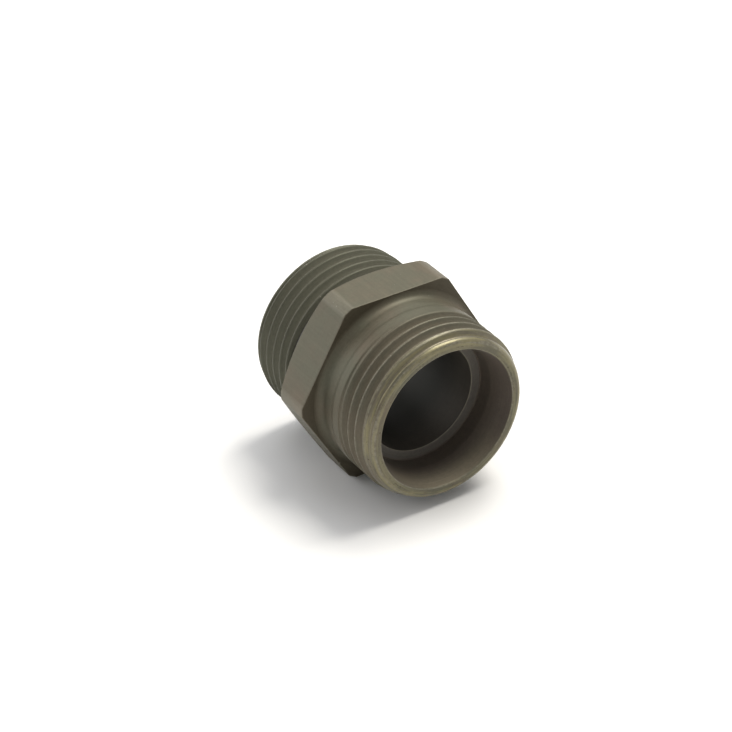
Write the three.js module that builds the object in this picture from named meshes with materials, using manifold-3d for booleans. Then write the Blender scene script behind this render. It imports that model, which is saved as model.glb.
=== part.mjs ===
// Hex nipple: one turned steel body with a male thread M30 x 2 on both ends and a hexagon between
// them, and the seal ring that sits in the relief groove behind the hexagon.
// Millimetres. The bore runs along X with the coned tube socket at +X, the part lies on a flat of
// its hexagon, +Z is up, and the origin is on the bore axis at mid-length.

import * as THREE from "three";
import { mergeVertices } from "three/addons/utils/BufferGeometryUtils.js";
import Module from "manifold-3d";

const wasm = await Module();
wasm.setup();

// Lengths along the bore.
const SOCKET_END_LENGTH = 14.1; // from the hexagon's front face to the nose
const HEX_THICKNESS = 8;
const STUD_END_LENGTH = 12.1; // from the hexagon's rear face to the stud's end
const LENGTH = SOCKET_END_LENGTH + HEX_THICKNESS + STUD_END_LENGTH;

const NOSE_X = LENGTH / 2;
const HEX_FRONT_X = NOSE_X - SOCKET_END_LENGTH;
const HEX_REAR_X = HEX_FRONT_X - HEX_THICKNESS;
const STUD_X = -LENGTH / 2;

// The hexagon: its corners are turned off, and its rear is chamfered down to a washer face.
const HEX_ACROSS_FLATS = 32;
const HEX_CORNER_RADIUS = 18.05;
const WASHER_FACE_RADIUS = 15.25;
const HEX_CHAMFER_ANGLE = THREE.MathUtils.degToRad(30);
const HEX_FRONT_EDGE_BREAK = 0.15;

// The thread, M30 x 2, cut to the low end of its tolerance.
const THREAD_RADIUS = 14.85;
const THREAD_PITCH = 2;
const THREAD_DEPTH = 1.1;
const FLANK_SLOPE = Math.tan(THREE.MathUtils.degToRad(30)); // axial run for each unit of depth
const ROOT_HALF_WIDTH = 0.24;
const CREST_ALLOWANCE = 0.08; // the bars stand this much proud of the crests, which are turned last

// Where a crest stands on the +Y side of each end, measured from the origin.
const SOCKET_CREST_X = 10.42;
const STUD_CREST_X = -10.35;

// The socket end's plain neck. Its thread starts with a shallow groove that deepens over one turn,
// and that first turn is short of a whole pitch.
const NECK_RADIUS = 14.62;
const NECK_FILLET = 1.2;
const NECK_END_X = HEX_FRONT_X + 4;
const NECK_STEP_LENGTH = 0.6;
const STARTING_TURN = -0.71; // turns from +Y about +X
const STARTING_TURN_LEAD = 1.35;
const STARTING_DEPTH = 0.12;

const NOSE_CHAMFER_LENGTH = 2.6;
const NOSE_RADIUS = 13.75;
const NOSE_ROUNDING = 0.8;

// The stud end's relief groove behind the hexagon, and its lead-in chamfer.
const RELIEF_RADIUS = 13.4;
const RELIEF_BOTTOM_LENGTH = 1.5;
const RELIEF_LENGTH = 1.95;
const STUD_CHAMFER_LENGTH = 1.6;
const STUD_FACE_RADIUS = 14.3;

// The bore: a 24 degree cone, a short tube seat, a flat stop shoulder and the through bore.
const MOUTH_RADIUS = 12.25;
const SEAT_RADIUS = 11.25;
const CONE_HALF_ANGLE = THREE.MathUtils.degToRad(12);
const SOCKET_DEPTH = 7.5;
const BORE_RADIUS = 9.5;
const BORE_EDGE_BREAK = 0.15;
const BORE_EXIT_CHAMFER = 0.6;
const MOUTH_EDGE_BREAK = 0.2;

// The seal ring in the relief groove.
const SEAL_INNER_RADIUS = 13.7;
const SEAL_OUTER_RADIUS = 14.75;
const SEAL_WIDTH = 0.95;
const SEAL_ROUNDING = 0.3;
const SEAL_CLEARANCE = 0.3;

const SEGMENTS = 48; // facets in one turn of every round surface
const BAR_TURNS = 7; // each threaded bar runs past the part's end and into its plain middle
const STUD_BAR_START = -5.5;
const SOCKET_BAR_START = -2.5;
const OVERSHOOT = 2; // how far a cutting solid runs past what it cuts

// A closed geometry as a manifold-3d solid.
function solidFrom(geometry) {
  const bare = geometry.index ? geometry.toNonIndexed() : geometry.clone();
  bare.deleteAttribute("normal");
  bare.deleteAttribute("uv");
  const merged = mergeVertices(bare, 1e-4);
  const corners = merged.index.array;
  const kept = [];
  for (let i = 0; i < corners.length; i += 3) {
    const [a, b, c] = [corners[i], corners[i + 1], corners[i + 2]];
    if (a !== b && b !== c && c !== a) {
      kept.push(a, b, c);
    }
  }
  return new wasm.Manifold(
    new wasm.Mesh({
      numProp: 3,
      vertProperties: merged.attributes.position.array,
      triVerts: new Uint32Array(kept),
    }),
  );
}

// A manifold-3d solid as a mesh of the scene graph.
function meshFrom(solid, name, material) {
  const { numProp, vertProperties, triVerts } = solid.getMesh();
  const geometry = new THREE.BufferGeometry();
  const positions = new THREE.InterleavedBuffer(vertProperties, numProp);
  geometry.setAttribute(
    "position",
    new THREE.InterleavedBufferAttribute(positions, 3, 0),
  );
  geometry.setIndex(new THREE.BufferAttribute(triVerts, 1));
  const flat = geometry.toNonIndexed();
  flat.computeVertexNormals();
  const mesh = new THREE.Mesh(flat, material);
  mesh.name = name;
  return mesh;
}

// A solid turned about the X axis. The outline is a list of [x, radius] running towards +X on its
// outer side; it starts and ends on the axis, or closes on itself.
function turned(outline) {
  const points = outline.map(([x, radius]) => new THREE.Vector2(radius, x));
  const lathe = new THREE.LatheGeometry(points, SEGMENTS);
  lathe.rotateZ(-Math.PI / 2);
  return solidFrom(lathe);
}

// Points of a quarter round from one [x, radius] to another, about the given centre.
function quarterRound(centre, radius, fromAngle, toAngle, steps = 4) {
  return Array.from({ length: steps + 1 }, (_, i) => {
    const angle = fromAngle + ((toAngle - fromAngle) * i) / steps;
    return [
      centre[0] + radius * Math.cos(angle),
      centre[1] + radius * Math.sin(angle),
    ];
  });
}

// A bar with a right-hand thread along X, from one helical step to another. grooves(turn) gives the
// groove's place and depth after that many turns, counted from +Y about +X; the crest between two
// turns of the groove is the plain outside of the bar.
function threadedBar(grooves, firstTurn, turns) {
  const positions = [];
  const columns = turns * SEGMENTS;
  const pointsPerTurn = 4;
  const place = (step, point) => {
    const turn = firstTurn + step / SEGMENTS;
    const here = grooves(turn);
    const next = grooves(turn + 1);
    const barRadius = THREAD_RADIUS + CREST_ALLOWANCE;
    const reach = ({ depth }) => ROOT_HALF_WIDTH + (depth + CREST_ALLOWANCE) * FLANK_SLOPE;
    const [x, radius] = [
      [here.x + ROOT_HALF_WIDTH, THREAD_RADIUS - here.depth],
      [here.x + reach(here), barRadius],
      [next.x - reach(next), barRadius],
      [next.x - ROOT_HALF_WIDTH, THREAD_RADIUS - next.depth],
    ][point];
    const angle = turn * 2 * Math.PI;
    return [x, radius * Math.cos(angle), radius * Math.sin(angle)];
  };
  for (let step = 0; step <= columns + SEGMENTS; step++) {
    for (let point = 0; point < pointsPerTurn; point++) {
      positions.push(...place(step, point));
    }
  }
  // Point four of a column is point zero of the column one turn further on.
  const vertex = (step, point) =>
    point < pointsPerTurn
      ? step * pointsPerTurn + point
      : (step + SEGMENTS) * pointsPerTurn;
  const indices = [];
  for (let step = 0; step < columns; step++) {
    for (let point = 0; point < pointsPerTurn; point++) {
      const [a, b] = [vertex(step, point), vertex(step, point + 1)];
      const [c, d] = [vertex(step + 1, point + 1), vertex(step + 1, point)];
      indices.push(a, c, b, a, d, c);
    }
  }
  // Each end is a fan from the axis to the helical step.
  const rimOf = (column) => {
    const rim = [];
    for (let step = 0; step < SEGMENTS; step++) {
      rim.push(vertex(column + step, 0));
    }
    for (let point = pointsPerTurn; point > 0; point--) {
      rim.push(vertex(column, point));
    }
    return rim;
  };
  const addEnd = (column, outwards) => {
    const rim = rimOf(column);
    const turn = firstTurn + column / SEGMENTS;
    const centre = positions.length / 3;
    positions.push(grooves(turn + 0.5).x, 0, 0);
    rim.forEach((corner, i) => {
      const following = rim[(i + 1) % rim.length];
      indices.push(centre, ...(outwards ? [corner, following] : [following, corner]));
    });
  };
  addEnd(0, false);
  addEnd(columns, true);
  const geometry = new THREE.BufferGeometry();
  geometry.setAttribute("position", new THREE.Float32BufferAttribute(positions, 3));
  geometry.setIndex(indices);
  return solidFrom(geometry);
}

// The stud end's groove: full depth all the way.
function studGroove(turn) {
  return {
    x: STUD_CREST_X + THREAD_PITCH * (turn + 0.5),
    depth: THREAD_DEPTH,
  };
}

// The socket end's groove: it starts at STARTING_TURN, and is at full depth and pitch one turn on.
function socketGroove(turn) {
  const fullX = (at) => SOCKET_CREST_X + THREAD_PITCH * (at - 0.5);
  const cut = turn - STARTING_TURN;
  if (cut >= 1) {
    return { x: fullX(turn), depth: THREAD_DEPTH };
  }
  return {
    x: fullX(STARTING_TURN + 1) - STARTING_TURN_LEAD * (1 - cut),
    depth:
      cut < 0
        ? -CREST_ALLOWANCE
        : THREE.MathUtils.lerp(STARTING_DEPTH, THREAD_DEPTH, cut),
  };
}

// The body's turned outside without its hexagon.
function turnedBlank() {
  const filletCentre = [HEX_FRONT_X + NECK_FILLET, NECK_RADIUS + NECK_FILLET];
  const chamferNormal = Math.atan2(NOSE_CHAMFER_LENGTH, THREAD_RADIUS - NOSE_RADIUS);
  const noseCentre = [
    NOSE_X - NOSE_ROUNDING,
    NOSE_RADIUS - NOSE_ROUNDING * Math.tan(chamferNormal / 2),
  ];
  return turned([
    [STUD_X, 0],
    [STUD_X, STUD_FACE_RADIUS],
    [STUD_X + STUD_CHAMFER_LENGTH, THREAD_RADIUS],
    [HEX_REAR_X - RELIEF_LENGTH, THREAD_RADIUS],
    [HEX_REAR_X - RELIEF_BOTTOM_LENGTH, RELIEF_RADIUS],
    [HEX_REAR_X + OVERSHOOT, RELIEF_RADIUS],
    [HEX_FRONT_X - OVERSHOOT, NECK_RADIUS + NECK_FILLET],
    ...quarterRound(filletCentre, NECK_FILLET, Math.PI, 1.5 * Math.PI),
    [NECK_END_X - NECK_STEP_LENGTH, NECK_RADIUS],
    [NECK_END_X, THREAD_RADIUS],
    [NOSE_X - NOSE_CHAMFER_LENGTH, THREAD_RADIUS],
    ...quarterRound(noseCentre, NOSE_ROUNDING, chamferNormal, 0),
    [NOSE_X, 0],
  ]);
}

// The hexagonal prism with its corners turned off and its rear chamfered.
function hexagon() {
  const prism = new THREE.CylinderGeometry(
    HEX_ACROSS_FLATS / Math.sqrt(3),
    HEX_ACROSS_FLATS / Math.sqrt(3),
    HEX_THICKNESS,
    6,
    1,
    false,
    Math.PI / 6,
  );
  prism.rotateZ(-Math.PI / 2);
  prism.translate((HEX_FRONT_X + HEX_REAR_X) / 2, 0, 0);
  const rearChamfer = (HEX_CORNER_RADIUS - WASHER_FACE_RADIUS) * Math.tan(HEX_CHAMFER_ANGLE);
  const envelope = turned([
    [HEX_REAR_X, 0],
    [HEX_REAR_X, WASHER_FACE_RADIUS],
    [HEX_REAR_X + rearChamfer, HEX_CORNER_RADIUS],
    [HEX_FRONT_X - HEX_FRONT_EDGE_BREAK, HEX_CORNER_RADIUS],
    [HEX_FRONT_X, HEX_CORNER_RADIUS - HEX_FRONT_EDGE_BREAK],
    [HEX_FRONT_X, 0],
  ]);
  return solidFrom(prism).intersect(envelope);
}

// What is bored out: the through bore, the stop shoulder, the tube seat and the cone.
function boring() {
  const shoulderX = NOSE_X - SOCKET_DEPTH;
  const coneSlope = Math.tan(CONE_HALF_ANGLE);
  const coneStartX = NOSE_X - (MOUTH_RADIUS - SEAT_RADIUS) / coneSlope;
  return turned([
    [STUD_X - OVERSHOOT, 0],
    [STUD_X - OVERSHOOT, BORE_RADIUS + BORE_EXIT_CHAMFER + OVERSHOOT],
    [STUD_X + BORE_EXIT_CHAMFER, BORE_RADIUS],
    [shoulderX - BORE_EDGE_BREAK, BORE_RADIUS],
    [shoulderX, BORE_RADIUS + BORE_EDGE_BREAK],
    [shoulderX, SEAT_RADIUS],
    [coneStartX, SEAT_RADIUS],
    [NOSE_X - MOUTH_EDGE_BREAK, MOUTH_RADIUS - MOUTH_EDGE_BREAK * coneSlope],
    [NOSE_X + OVERSHOOT, MOUTH_RADIUS + MOUTH_EDGE_BREAK + OVERSHOOT],
    [NOSE_X + OVERSHOOT, 0],
  ]);
}

function nippleBody() {
  const plainMiddle = turned([
    [HEX_REAR_X - RELIEF_BOTTOM_LENGTH, 0],
    [HEX_REAR_X - RELIEF_BOTTOM_LENGTH, THREAD_RADIUS + OVERSHOOT],
    [NECK_END_X, THREAD_RADIUS + OVERSHOOT],
    [NECK_END_X, 0],
  ]);
  const threads = plainMiddle
    .add(threadedBar(studGroove, STUD_BAR_START, BAR_TURNS))
    .add(threadedBar(socketGroove, SOCKET_BAR_START, BAR_TURNS));
  const body = turnedBlank().intersect(threads).add(hexagon()).subtract(boring());
  const steel = new THREE.MeshStandardMaterial({
    color: 0x6b6858,
    roughness: 0.5,
    metalness: 0.8,
  });
  return meshFrom(body, "nipple_body", steel);
}

// The ring lies in the relief groove, a little below the thread crests so that it isn't cut by them.
function sealRing() {
  const frontX = HEX_REAR_X - SEAL_CLEARANCE;
  const rearX = frontX - SEAL_WIDTH;
  const section = [];
  const corners = [
    [rearX, SEAL_INNER_RADIUS, 1, 1],
    [frontX, SEAL_INNER_RADIUS, -1, 1],
    [frontX, SEAL_OUTER_RADIUS, -1, -1],
    [rearX, SEAL_OUTER_RADIUS, 1, -1],
  ];
  corners.forEach(([x, radius, alongX, alongRadius], i) => {
    const centre = [x + alongX * SEAL_ROUNDING, radius + alongRadius * SEAL_ROUNDING];
    const startAngle = Math.PI * (1 + i / 2);
    section.push(...quarterRound(centre, SEAL_ROUNDING, startAngle, startAngle + Math.PI / 2, 2));
  });
  section.push(section[0]);
  const rubber = new THREE.MeshStandardMaterial({
    color: 0x1c1c1a,
    roughness: 0.75,
    metalness: 0,
  });
  return meshFrom(turned(section.reverse()), "seal_ring", rubber);
}

const hexNipple = new THREE.Group();
hexNipple.add(nippleBody());
hexNipple.add(sealRing());

export default hexNipple;
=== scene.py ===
# %% [markdown]
# # A hex nipple with a coned tube socket
#
# The real object is one piece of hexagon bar, turned on a lathe: a male thread at each end, a
# hexagon for the spanner between them, and a bore from end to end. The only other piece is the
# rubber ring that sits in the relief groove behind the hexagon.
#
# The CAD model fixes every size. This script keeps to its box and gives the two pieces their fine
# surface: rounded edges, a cut thread that starts and runs out as a lathe leaves it, tool marks,
# and a dull olive finish that is rubbed brassy where hands and nuts touch it.

# %% Load the frame
import math

import bmesh
import bpy
from mathutils import Matrix, Vector


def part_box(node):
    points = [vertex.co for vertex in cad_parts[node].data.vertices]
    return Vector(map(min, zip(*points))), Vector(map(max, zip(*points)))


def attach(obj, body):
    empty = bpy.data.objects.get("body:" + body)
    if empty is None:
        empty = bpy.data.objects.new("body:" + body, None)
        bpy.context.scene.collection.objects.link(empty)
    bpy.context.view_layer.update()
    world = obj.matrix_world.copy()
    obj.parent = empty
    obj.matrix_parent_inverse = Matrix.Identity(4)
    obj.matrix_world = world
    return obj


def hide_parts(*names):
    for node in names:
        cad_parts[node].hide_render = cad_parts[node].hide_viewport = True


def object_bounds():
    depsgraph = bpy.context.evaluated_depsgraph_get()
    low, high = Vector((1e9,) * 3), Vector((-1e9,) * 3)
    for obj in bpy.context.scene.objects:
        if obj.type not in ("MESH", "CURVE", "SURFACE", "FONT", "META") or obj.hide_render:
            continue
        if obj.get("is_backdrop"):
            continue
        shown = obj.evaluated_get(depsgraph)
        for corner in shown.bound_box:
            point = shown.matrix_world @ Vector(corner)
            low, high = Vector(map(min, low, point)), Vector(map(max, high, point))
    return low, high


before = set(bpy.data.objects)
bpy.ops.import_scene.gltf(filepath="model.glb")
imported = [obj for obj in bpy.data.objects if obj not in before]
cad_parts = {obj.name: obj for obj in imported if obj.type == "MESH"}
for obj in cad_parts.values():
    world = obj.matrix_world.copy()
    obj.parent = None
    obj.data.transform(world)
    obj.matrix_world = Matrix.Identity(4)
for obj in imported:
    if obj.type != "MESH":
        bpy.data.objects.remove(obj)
cad_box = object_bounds()

# %% [markdown]
# ## Sizes
#
# The overall sizes are read from the frame: the length, the width across the flats and the width
# across the turned corners are the three sides of the body's box. What the box doesn't say, such
# as the bore and the depth of a chamfer, is named here in the same millimetres as a drawing.

# %% Sizes from the frame and the drawing
MM = 0.001

body_low, body_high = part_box("nipple_body")
NOSE_X = body_high.x
STUD_X = body_low.x
CLEARANCE = 0.001 * MM  # keeps every rounding error inside the CAD box
FLAT_RADIUS = body_high.z - CLEARANCE  # from the bore axis to a flat
CORNER_RADIUS = body_high.y - CLEARANCE  # the corners are turned off at this radius

HEX_FRONT_X = NOSE_X - 14.1 * MM
HEX_REAR_X = HEX_FRONT_X - 8 * MM
WASHER_FACE_RADIUS = 15.25 * MM
HEX_CHAMFER_SLOPE = math.tan(math.radians(30))

THREAD_RADIUS = 14.85 * MM
PITCH = 2 * MM
THREAD_DEPTH = 1.1 * MM
ROOT_HALF_WIDTH = 0.24 * MM

NECK_RADIUS = 14.62 * MM
NECK_FILLET = 1.2 * MM
RELIEF_RADIUS = 13.4 * MM
RELIEF_BOTTOM_LENGTH = 1.5 * MM
RELIEF_LENGTH = 1.95 * MM

NOSE_CHAMFER_LENGTH = 2.6 * MM
NOSE_RADIUS = 13.75 * MM
NOSE_ROUNDING = 0.8 * MM
STUD_CHAMFER_LENGTH = 1.6 * MM
STUD_FACE_RADIUS = 14.3 * MM

MOUTH_RADIUS = 12.25 * MM
SEAT_RADIUS = 11.25 * MM
CONE_SLOPE = math.tan(math.radians(12))
SHOULDER_X = NOSE_X - 7.5 * MM
BORE_RADIUS = 9.5 * MM

print("length {:.1f} mm, across flats {:.1f} mm, across corners {:.1f} mm".format(
    (NOSE_X - STUD_X) / MM, 2 * FLAT_RADIUS / MM, 2 * CORNER_RADIUS / MM))

# %% [markdown]
# ## A small helper for node trees
#
# Both the shapes and the finishes below are node trees. Wiring them by hand in Python is wordy, so
# this helper adds one node at a time: it takes numbers or other nodes' outputs as values, and
# returns the output that the next node needs. The same helper serves geometry and shader trees,
# because the maths nodes are the same in both.

# %% The wiring helper
class Wiring:
    """Adds nodes to one node tree. A value is a number, a vector or another node's output."""

    def __init__(self, tree):
        self.tree = tree

    def feed(self, socket, value):
        if isinstance(value, bpy.types.NodeSocket):
            self.tree.links.new(value, socket)
        else:
            socket.default_value = value

    def node(self, kind, inputs=None, **settings):
        made = self.tree.nodes.new(kind)
        for name, value in settings.items():
            setattr(made, name, value)
        for name, value in (inputs or {}).items():
            self.feed(made.inputs[name], value)
        return made

    def math(self, operation, *values):
        made = self.node("ShaderNodeMath", operation=operation)
        for socket, value in zip(made.inputs, values):
            self.feed(socket, value)
        return made.outputs[0]

    def add(self, *values):
        total = values[0]
        for value in values[1:]:
            total = self.math("ADD", total, value)
        return total

    def product(self, *values):
        total = values[0]
        for value in values[1:]:
            total = self.math("MULTIPLY", total, value)
        return total

    def clamp(self, value, low=0.0, high=1.0):
        return self.math("MINIMUM", self.math("MAXIMUM", value, low), high)

    def ramp(self, value, low, high):
        """0 below low, 1 above high, and smooth between."""
        made = self.node("ShaderNodeMapRange", interpolation_type="SMOOTHSTEP")
        for socket, number in zip(made.inputs, (value, low, high)):
            self.feed(socket, number)
        return made.outputs[0]

    def fall(self, value, low, high):
        """1 below low, 0 above high, and smooth between."""
        return self.math("SUBTRACT", 1.0, self.ramp(value, low, high))

    def group(self, tree, inputs=None):
        """A node group of the same kind as this tree."""
        kind = "GeometryNodeGroup" if tree.bl_idname == "GeometryNodeTree" else "ShaderNodeGroup"
        made = self.tree.nodes.new(kind)
        made.node_tree = tree
        for name, value in (inputs or {}).items():
            self.feed(made.inputs[name], value)
        return made

    def mix_value(self, factor, first, second):
        return self.add(first, self.product(factor, self.math("SUBTRACT", second, first)))

    def mix_colour(self, factor, first, second, blend="MIX"):
        made = self.node("ShaderNodeMix", data_type="RGBA", blend_type=blend)
        # The colour sockets of this node share their names with its number sockets.
        for place, value in ((0, factor), (6, first), (7, second)):
            self.feed(made.inputs[place], value)
        return made.outputs[2]

    def times_colour(self, colour, value):
        grey = self.node("ShaderNodeCombineColor", {"Red": value, "Green": value, "Blue": value})
        return self.mix_colour(1.0, colour, grey.outputs["Color"], blend="MULTIPLY")

    def vector(self, x=0.0, y=0.0, z=0.0):
        made = self.node("ShaderNodeCombineXYZ")
        for socket, value in zip(made.inputs, (x, y, z)):
            self.feed(socket, value)
        return made.outputs[0]


def new_tree(kind, name, inputs, outputs):
    """An empty node group with named sockets: (tree, its inputs, its output node, its wiring)."""
    tree = bpy.data.node_groups.new(name, kind)
    for label, socket_type, default in inputs:
        socket = tree.interface.new_socket(name=label, in_out="INPUT", socket_type=socket_type)
        if default is not None:
            socket.default_value = default
    for label, socket_type in outputs:
        tree.interface.new_socket(name=label, in_out="OUTPUT", socket_type=socket_type)
    given = tree.nodes.new("NodeGroupInput").outputs
    result = tree.nodes.new("NodeGroupOutput").inputs
    return tree, given, result, Wiring(tree)


FLOAT, INTEGER = "NodeSocketFloat", "NodeSocketInt"
GEOMETRY, MATERIAL = "NodeSocketGeometry", "NodeSocketMaterial"


def grow(name, tree, values, seed_mesh):
    """Runs a geometry tree on a mesh and returns the finished mesh; no live modifier is left."""
    holder = bpy.data.objects.new(name, seed_mesh)
    bpy.context.scene.collection.objects.link(holder)
    modifier = holder.modifiers.new(name, "NODES")
    modifier.node_group = tree
    for item in tree.interface.items_tree:
        if item.in_out == "INPUT" and item.name in values:
            modifier[item.identifier] = values[item.name]
    graph = bpy.context.evaluated_depsgraph_get()
    mesh = bpy.data.meshes.new_from_object(holder.evaluated_get(graph), depsgraph=graph)
    bpy.data.objects.remove(holder)
    mesh.name = name
    print(f"{name}: {len(mesh.vertices)} points, {len(mesh.polygons)} faces")
    return mesh


# %% [markdown]
# ## What the finishes share
#
# The body has one finish, a thin dull plating on turned steel, but it looks different from place to
# place. Turned surfaces carry fine rings from the tool, while the flats keep the straight grain of
# the drawn bar. Patches of the plating are a little warmer or greener. The crests of the threads,
# the nose and the corners are rubbed bright. Each of these effects is a shader node group that puts
# out a mask or a height, so that the rubber can use the same ones with other values.

# %% Ring marks and drawn grain
PER_MM = 1 / MM


def noise(w, vector, scale, detail=2.0, roughness=0.5, extra=None):
    """One value of smooth noise; with an extra number it is four-dimensional."""
    inputs = {"Vector": vector, "Scale": scale, "Detail": detail, "Roughness": roughness}
    if extra is None:
        return w.node("ShaderNodeTexNoise", inputs).outputs[0]
    inputs["W"] = extra
    return w.node("ShaderNodeTexNoise", inputs, noise_dimensions="4D").outputs[0]


def here(w):
    """The point's place on the piece, and its X, Y and Z."""
    vector = w.node("ShaderNodeTexCoord").outputs["Object"]
    place = w.node("ShaderNodeSeparateXYZ", {"Vector": vector})
    return vector, place.outputs["X"], place.outputs["Y"], place.outputs["Z"]


def ring_marks():
    """Rings about the bore, as a turning tool leaves them; Waver breaks them up round the turn."""
    tree, given, result, w = new_tree(
        "ShaderNodeTree", "Ring marks",
        [("Marks per mm", FLOAT, 6.0), ("Waver", FLOAT, 0.6)],
        [("Marks", FLOAT), ("Radius", FLOAT), ("Along", FLOAT)])
    _, x, y, z = here(w)
    radius = w.math("SQRT", w.add(w.product(y, y), w.product(z, z)))
    fine = w.product(given["Marks per mm"], PER_MM)
    across = w.vector(w.product(x, fine), w.product(radius, fine),
                      w.product(w.math("DIVIDE", y, radius), given["Waver"]))
    around = w.product(w.math("DIVIDE", z, radius), given["Waver"])
    w.feed(result["Marks"], noise(w, across, 1.0, 3.0, 0.6, extra=around))
    w.feed(result["Radius"], radius)
    w.feed(result["Along"], x)
    return tree


def drawn_grain():
    """Straight grain along the bar, as the drawing die leaves it on the flats."""
    tree, given, result, w = new_tree(
        "ShaderNodeTree", "Drawn grain",
        [("Lines per mm", FLOAT, 5.0), ("Stretch", FLOAT, 14.0)], [("Grain", FLOAT)])
    _, x, y, z = here(w)
    fine = w.product(given["Lines per mm"], PER_MM)
    slow = w.math("DIVIDE", fine, given["Stretch"])
    drawn = w.vector(w.product(x, slow), w.product(y, fine), w.product(z, fine))
    w.feed(result["Grain"], noise(w, drawn, 1.0, 3.0, 0.6))
    return tree


RING_MARKS = ring_marks()
DRAWN_GRAIN = drawn_grain()

# %% Patches, rubbed edges and nicks
def patches():
    """Soft patches of a given size; Seed moves them to another place."""
    tree, given, result, w = new_tree(
        "ShaderNodeTree", "Patches",
        [("Size in mm", FLOAT, 4.0), ("Seed", FLOAT, 0.0), ("Softness", FLOAT, 0.12)],
        [("Patch", FLOAT)])
    vector, *_ = here(w)
    cloud = noise(w, vector, w.math("DIVIDE", PER_MM, given["Size in mm"]), 4.0, 0.6,
                  extra=given["Seed"])
    w.feed(result["Patch"], w.ramp(cloud, w.math("SUBTRACT", 0.5, given["Softness"]),
                                   w.add(0.5, given["Softness"])))
    return tree


def rubbed_edges():
    """How far the finish is rubbed off along the stored edges, uneven from place to place."""
    tree, given, result, w = new_tree(
        "ShaderNodeTree", "Rubbed edges",
        [("Edge", FLOAT, 0.0), ("Amount", FLOAT, 1.0), ("Break-up in mm", FLOAT, 0.8)],
        [("Rubbed", FLOAT)])
    vector, *_ = here(w)
    breaks = noise(w, vector, w.math("DIVIDE", PER_MM, given["Break-up in mm"]), 4.0, 0.65)
    uneven = w.mix_value(w.ramp(breaks, 0.38, 0.62), 0.25, 1.0)
    w.feed(result["Rubbed"], w.product(given["Edge"], uneven, given["Amount"]))
    return tree


def nicks():
    """Small dents from handling: sparse spots, mostly along the edges."""
    tree, given, result, w = new_tree(
        "ShaderNodeTree", "Nicks",
        [("Edge", FLOAT, 0.0), ("Size in mm", FLOAT, 0.35), ("Sparseness", FLOAT, 0.64)],
        [("Nick", FLOAT)])
    vector, *_ = here(w)
    spots = noise(w, vector, w.math("DIVIDE", PER_MM, given["Size in mm"]), 1.0, 0.4)
    limit = w.math("SUBTRACT", given["Sparseness"], w.product(given["Edge"], 0.06))
    w.feed(result["Nick"], w.ramp(spots, limit, w.add(limit, 0.03)))
    return tree


PATCHES = patches()
RUBBED_EDGES = rubbed_edges()
NICKS = nicks()
SHADER_GROUPS = (RING_MARKS, DRAWN_GRAIN, PATCHES, RUBBED_EDGES, NICKS)
print("shader groups:", [tree.name for tree in SHADER_GROUPS])

# %% [markdown]
# ## The plated steel
#
# Dull plating isn't a mirror: it is a dark olive metal with a rough surface, so it shows soft,
# wide reflections. The colour runs from the plain plating over warmer and greener patches to the
# brassy tone where it is rubbed. The nose is rubbed more than anything else, because a nut and its
# ring are pushed over it, so the material also reads how near the nose a point is.
#
# Some of these colours were tuned under the lights of this scene and are not those of a real
# plating: they are painted light and painted shade. The roots of the threads are painted lighter
# than the crests, because the lights below reach them less than real ones would. The hexagon's front
# face and the relief groove are painted darker, as painted shade. The cone, the seat and the
# shoulder are painted lighter, the cone more so below, and the bore is painted darker with depth, to
# stand in for light that the scene doesn't have. Under other lights these colours need another look.

# %% The plated steel
PLATING = (0.116, 0.105, 0.075, 1)
WARM_PLATING = (0.138, 0.110, 0.080, 1)
GREEN_PLATING = (0.103, 0.106, 0.075, 1)
# Painted shade: a darker colour on the hexagon's front face, which faces away from the lights.
PAINTED_FRONT_FACE_SHADE = (0.086, 0.073, 0.049, 1)
# Painted light: the thread roots get a lighter colour than the crests, for light that reaches them
# too little here.
PAINTED_ROOT_LIGHT = (0.205, 0.182, 0.138, 1)
PAINTED_GREEN_ROOT_LIGHT = (0.192, 0.186, 0.145, 1)
DULL_CREST = (0.082, 0.080, 0.060, 1)
# Painted shade: a near-black colour in the relief groove behind the hexagon, where shade falls.
PAINTED_RELIEF_SHADE = (0.030, 0.027, 0.020, 1)
WORN_PLATING = (0.230, 0.212, 0.168, 1)
BRASSY = (0.225, 0.203, 0.116, 1)
# Painted light: the socket cone gets a lighter colour than the plating outside, and a lighter one
# again on its lower half.
PAINTED_CONE_LIGHT = (0.158, 0.132, 0.110, 1)
PAINTED_LOW_CONE_LIGHT = (0.245, 0.215, 0.158, 1)
# Painted light: lighter colours on the tube seat and the stop shoulder inside the socket.
PAINTED_SEAT_LIGHT = (0.125, 0.104, 0.084, 1)
PAINTED_SHOULDER_LIGHT = (0.138, 0.127, 0.110, 1)
# Painted shade: a dark colour down the through bore, darker still with depth.
PAINTED_BORE_SHADE = (0.088, 0.078, 0.064, 1)
PAINTED_DEEP_BORE_SHADE = (0.026, 0.025, 0.020, 1)
BARE_STEEL = (0.34, 0.32, 0.27, 1)


def new_material(name):
    """A material with its Principled BSDF and its wiring."""
    material = bpy.data.materials.new(name)
    material.use_nodes = True
    return material, material.node_tree.nodes["Principled BSDF"], Wiring(material.node_tree)


def stored(w, name):
    return w.node("ShaderNodeAttribute", attribute_name=name).outputs["Fac"]


# %% [markdown]
# ## Where each look lies
#
# One finish covers the whole body, so it has to know where on the body a point is. Two numbers say
# that, as on a lathe: the radius and the place along the bore. Each mask below is 1 in its place and
# blends to 0 over a fraction of a millimetre, so that no border looks painted.

# %% Masks of the places on the body
BLEND = 0.1 * MM


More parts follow.
